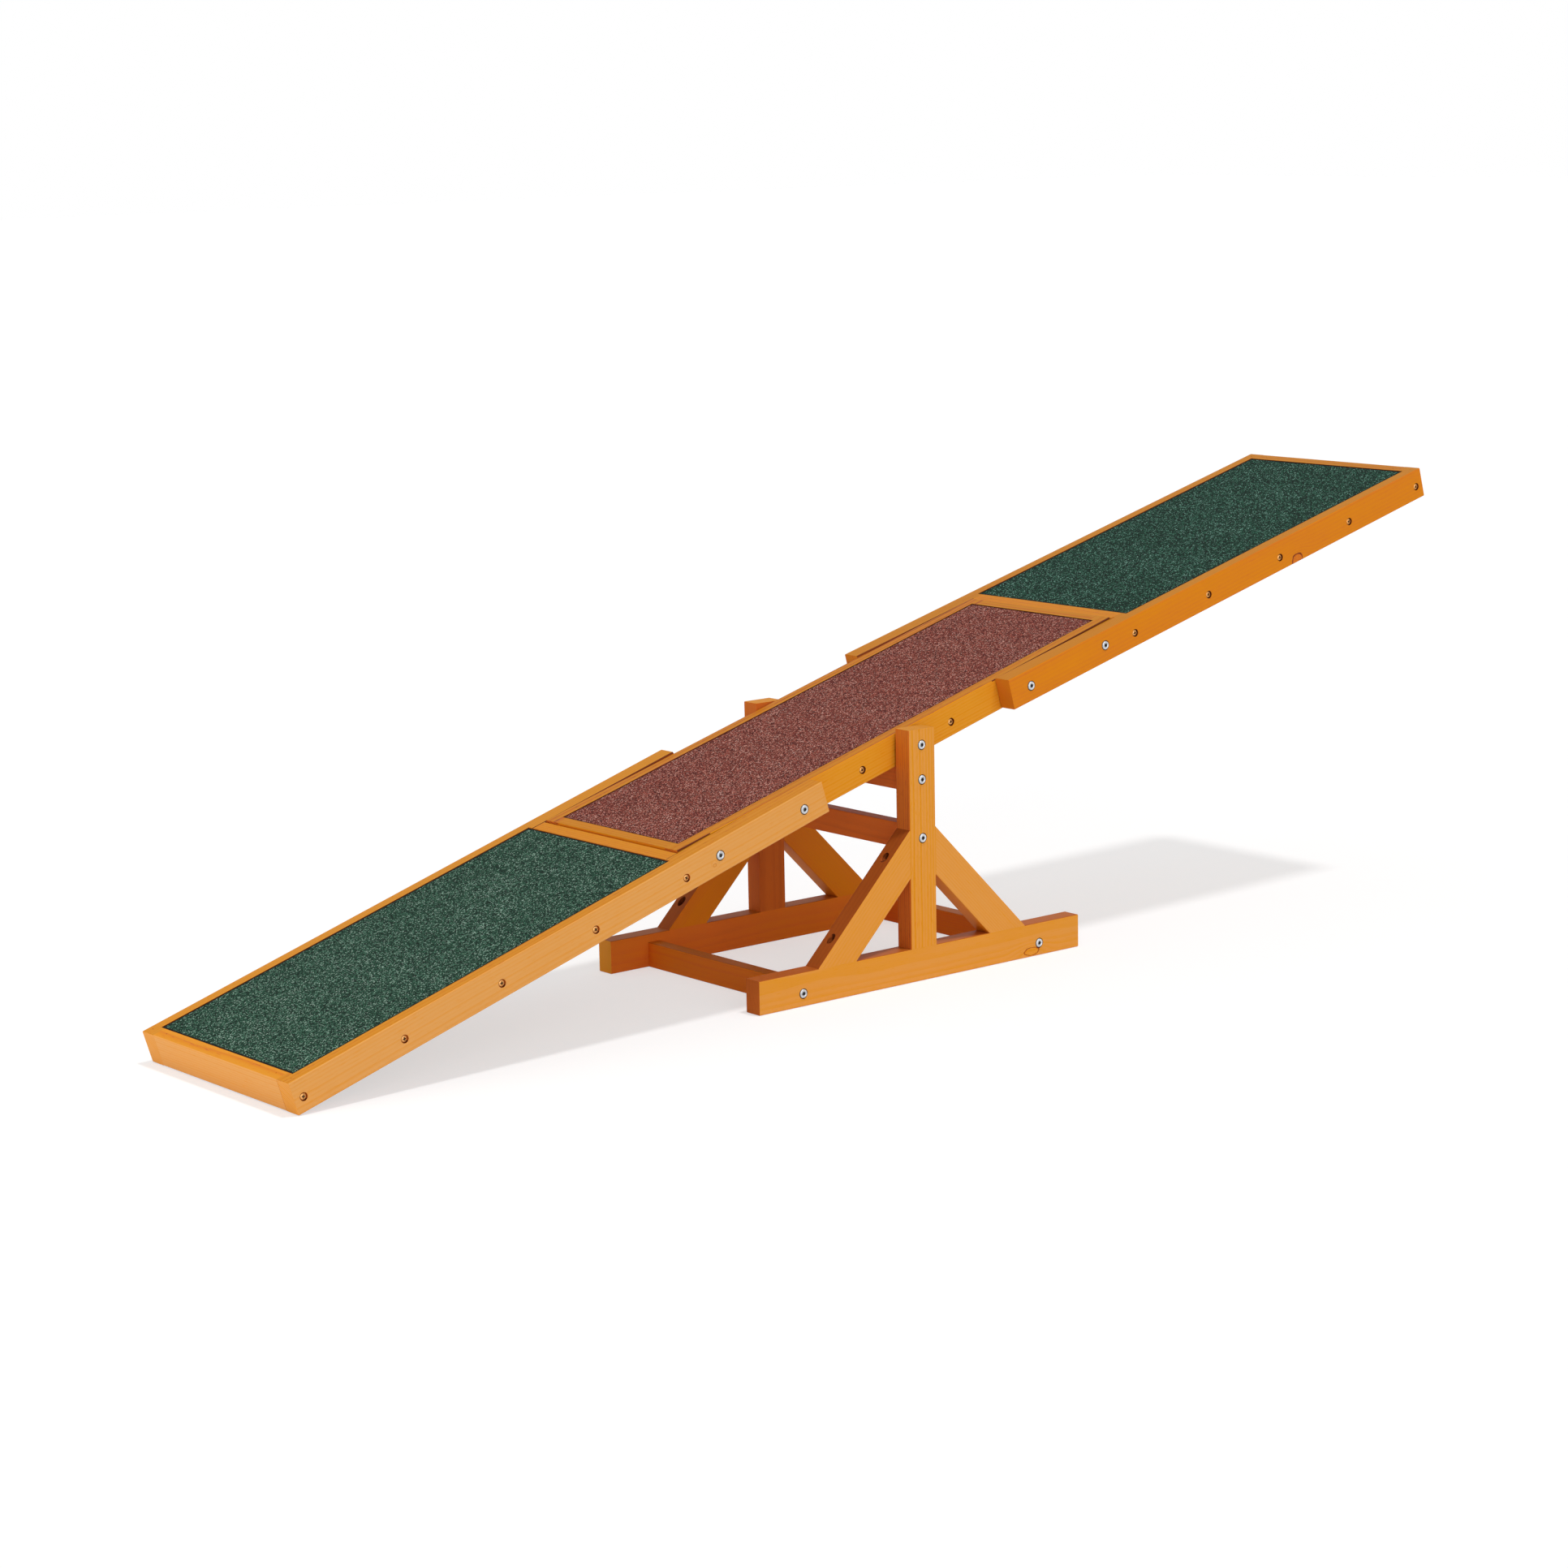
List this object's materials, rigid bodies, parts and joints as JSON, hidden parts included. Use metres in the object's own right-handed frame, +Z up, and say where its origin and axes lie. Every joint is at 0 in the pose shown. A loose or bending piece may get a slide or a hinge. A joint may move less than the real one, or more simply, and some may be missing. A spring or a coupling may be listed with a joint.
{
  "type": "agility seesaw",
  "caption": "Wooden dog agility seesaw: a long plank in lapped sections with grit mats, tilting on bolts between the posts of a braced trestle.",
  "frame": {"origin": "on the floor, under the middle of the pivot, halfway between the two side frames", "axes": "+X along the plank towards its raised end, +Y from the front side frame to the back one, +Z up"},
  "size_m": [1.7496, 0.3066, 0.5359],
  "materials": {
    "stained_pine": "satin",
    "board": "matte",
    "green_grit": "matte",
    "red_grit": "matte",
    "zinc_steel": "satin"
  },
  "bodies": {
    "trestle": {"front_base_rail": "stained_pine", "back_base_rail": "stained_pine", "front_post": "stained_pine", "back_post": "stained_pine", "front_left_brace": "stained_pine", "front_right_brace": "stained_pine", "back_left_brace": "stained_pine", "back_right_brace": "stained_pine", "left_ground_bar": "stained_pine", "right_ground_bar": "stained_pine", "low_cross_bar": "stained_pine", "high_cross_bar": "stained_pine", "front_left_ground_bar_bolt": "zinc_steel", "back_left_ground_bar_bolt": "zinc_steel", "front_right_ground_bar_bolt": "zinc_steel", "back_right_ground_bar_bolt": "zinc_steel", "front_low_cross_bar_bolt": "zinc_steel", "back_low_cross_bar_bolt": "zinc_steel", "front_high_cross_bar_bolt": "zinc_steel", "back_high_cross_bar_bolt": "zinc_steel", "front_pivot_bolt": "zinc_steel", "back_pivot_bolt": "zinc_steel", "front_pivot_spacer": "zinc_steel", "back_pivot_spacer": "zinc_steel"},
    "plank": {"middle_front_rail": "stained_pine", "middle_back_rail": "stained_pine", "middle_left_end_bar": "stained_pine", "middle_right_end_bar": "stained_pine", "middle_left_batten_1": "stained_pine", "middle_left_batten_2": "stained_pine", "middle_right_batten_1": "stained_pine", "middle_right_batten_2": "stained_pine", "middle_panel": "board", "middle_grit_mat": "red_grit", "front_left_inner_lap_bolt": "zinc_steel", "front_left_outer_lap_bolt": "zinc_steel", "back_left_inner_lap_bolt": "zinc_steel", "back_left_outer_lap_bolt": "zinc_steel", "front_right_inner_lap_bolt": "zinc_steel", "front_right_outer_lap_bolt": "zinc_steel", "back_right_inner_lap_bolt": "zinc_steel", "back_right_outer_lap_bolt": "zinc_steel", "left_front_rail": "stained_pine", "left_back_rail": "stained_pine", "left_inner_bar": "stained_pine", "left_end_bar": "stained_pine", "left_batten_1": "stained_pine", "left_batten_2": "stained_pine", "left_batten_3": "stained_pine", "left_panel": "board", "left_grit_mat": "green_grit", "right_front_rail": "stained_pine", "right_back_rail": "stained_pine", "right_inner_bar": "stained_pine", "right_end_bar": "stained_pine", "right_batten_1": "stained_pine", "right_batten_2": "stained_pine", "right_batten_3": "stained_pine", "right_panel": "board", "right_grit_mat": "green_grit"}
  },
  "joints": [
    {"name": "plank_tilt", "type": "hinge", "parent": "trestle", "child": "plank", "pos_m": [0, 0, 0.281], "axis": [0, 1, 0], "range_deg": [0, 32.03]}
  ]
}
